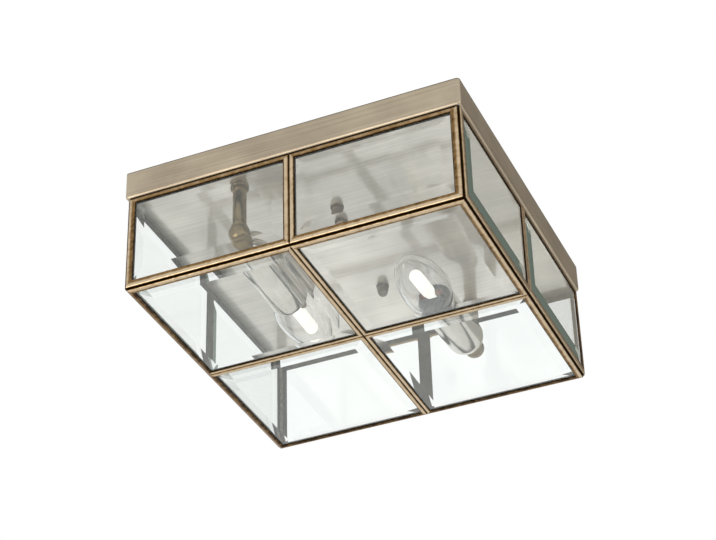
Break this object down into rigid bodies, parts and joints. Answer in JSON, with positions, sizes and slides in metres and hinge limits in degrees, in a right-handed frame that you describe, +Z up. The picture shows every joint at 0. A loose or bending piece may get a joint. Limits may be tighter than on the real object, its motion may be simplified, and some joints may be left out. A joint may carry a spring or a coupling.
{
  "type": "porch ceiling lantern",
  "caption": "Square flush ceiling lantern: a brass pan with candle lamps on side arms, closed by a hinged cage of bevelled glass panes in brass strips.",
  "frame": {"origin": "middle of the two ceiling screws on the ceiling plane, at the top of the mounting strap and of the pan's rim", "axes": "+Z up into the ceiling, the lantern hangs below; +X along the front, to the right as seen from the front; +Y to the hinged back"},
  "size_m": [0.25, 0.2539, 0.0981],
  "materials": {
    "pan_brass": "brushed antique brass, satin lacquered",
    "strip_brass": "antique brass, half polished",
    "arm_brass": "antique brass, satin",
    "cover_nickel": "satin nickel plate",
    "contact_brass": "bare",
    "zinc_steel": "zinc plated",
    "solder": "dull, patinated",
    "terminal_plastic": "matt",
    "holder_plastic": "matt",
    "brown_insulation": "matt",
    "blue_insulation": "matt",
    "green_yellow_insulation": "matt",
    "pane_glass": "clear, bevelled",
    "lamp_glass": "clear",
    "capsule_glass": "bright"
  },
  "bodies": {
    "pan": {"ceiling_pan": "pan_brass", "mounting_strap": "zinc_steel", "strap_studs": "zinc_steel", "plain_nuts": "zinc_steel", "cap_nut_washers": "arm_brass", "terminal_block": "terminal_plastic", "terminal_screws": "zinc_steel", "live_leads": "brown_insulation", "neutral_leads": "blue_insulation", "earth_post": "zinc_steel", "earth_lead": "green_yellow_insulation", "hinge_pan_leaf": "strip_brass", "hinge_rivets": "strip_brass", "hinge_pin": "zinc_steel", "catch_springs": "arm_brass", "stem_collars": "arm_brass", "stem_nuts": "zinc_steel", "holder_contacts": "contact_brass", "stem_left": "arm_brass", "knuckle_left": "arm_brass", "holder_cover_left": "cover_nickel", "holder_insert_left": "holder_plastic", "stem_right": "arm_brass", "knuckle_right": "arm_brass", "holder_cover_right": "cover_nickel", "holder_insert_right": "holder_plastic"},
    "cage": {"front_left_frame": "strip_brass", "front_right_frame": "strip_brass", "right_front_frame": "strip_brass", "right_back_frame": "strip_brass", "back_right_frame": "strip_brass", "back_left_frame": "strip_brass", "left_back_frame": "strip_brass", "left_front_frame": "strip_brass", "bottom_front_left_frame": "strip_brass", "bottom_front_right_frame": "strip_brass", "bottom_back_left_frame": "strip_brass", "bottom_back_right_frame": "strip_brass", "front_left_pane": "pane_glass", "front_right_pane": "pane_glass", "right_front_pane": "pane_glass", "right_back_pane": "pane_glass", "back_right_pane": "pane_glass", "back_left_pane": "pane_glass", "left_back_pane": "pane_glass", "left_front_pane": "pane_glass", "bottom_front_left_pane": "pane_glass", "bottom_front_right_pane": "pane_glass", "bottom_back_left_pane": "pane_glass", "bottom_back_right_pane": "pane_glass", "solder_seams": "solder", "hinge_cage_leaf": "strip_brass"},
    "lamp_left": {"lamp_cap_left": "contact_brass", "lamp_envelope_left": "lamp_glass", "lamp_capsule_left": "capsule_glass"},
    "lamp_right": {"lamp_cap_right": "contact_brass", "lamp_envelope_right": "lamp_glass", "lamp_capsule_right": "capsule_glass"},
    "cap_nut_front": {"cap_nut_front": "arm_brass"},
    "cap_nut_back": {"cap_nut_back": "arm_brass"}
  },
  "joints": [
    {"name": "cage_hinge", "type": "hinge", "parent": "pan", "child": "cage", "pos_m": [0, 0.1269, -0.024], "axis": [1, 0, 0], "range_deg": [0, 90]},
    {"name": "lamp_left_turn", "type": "hinge", "parent": "pan", "child": "lamp_left", "pos_m": [-0.0465, -0.102, -0.061], "axis": [0, 0.9986, -0.0523], "continuous": true},
    {"name": "lamp_right_turn", "type": "hinge", "parent": "pan", "child": "lamp_right", "pos_m": [0.0465, 0.102, -0.061], "axis": [0, -0.9986, -0.0523], "continuous": true},
    {"name": "cap_nut_front_turn", "type": "hinge", "parent": "pan", "child": "cap_nut_front", "pos_m": [0.0045, -0.0512, -0.0224], "axis": [0, 0, 1], "continuous": true},
    {"name": "cap_nut_back_turn", "type": "hinge", "parent": "pan", "child": "cap_nut_back", "pos_m": [-0.0045, 0.0512, -0.0224], "axis": [0, 0, 1], "continuous": true}
  ]
}
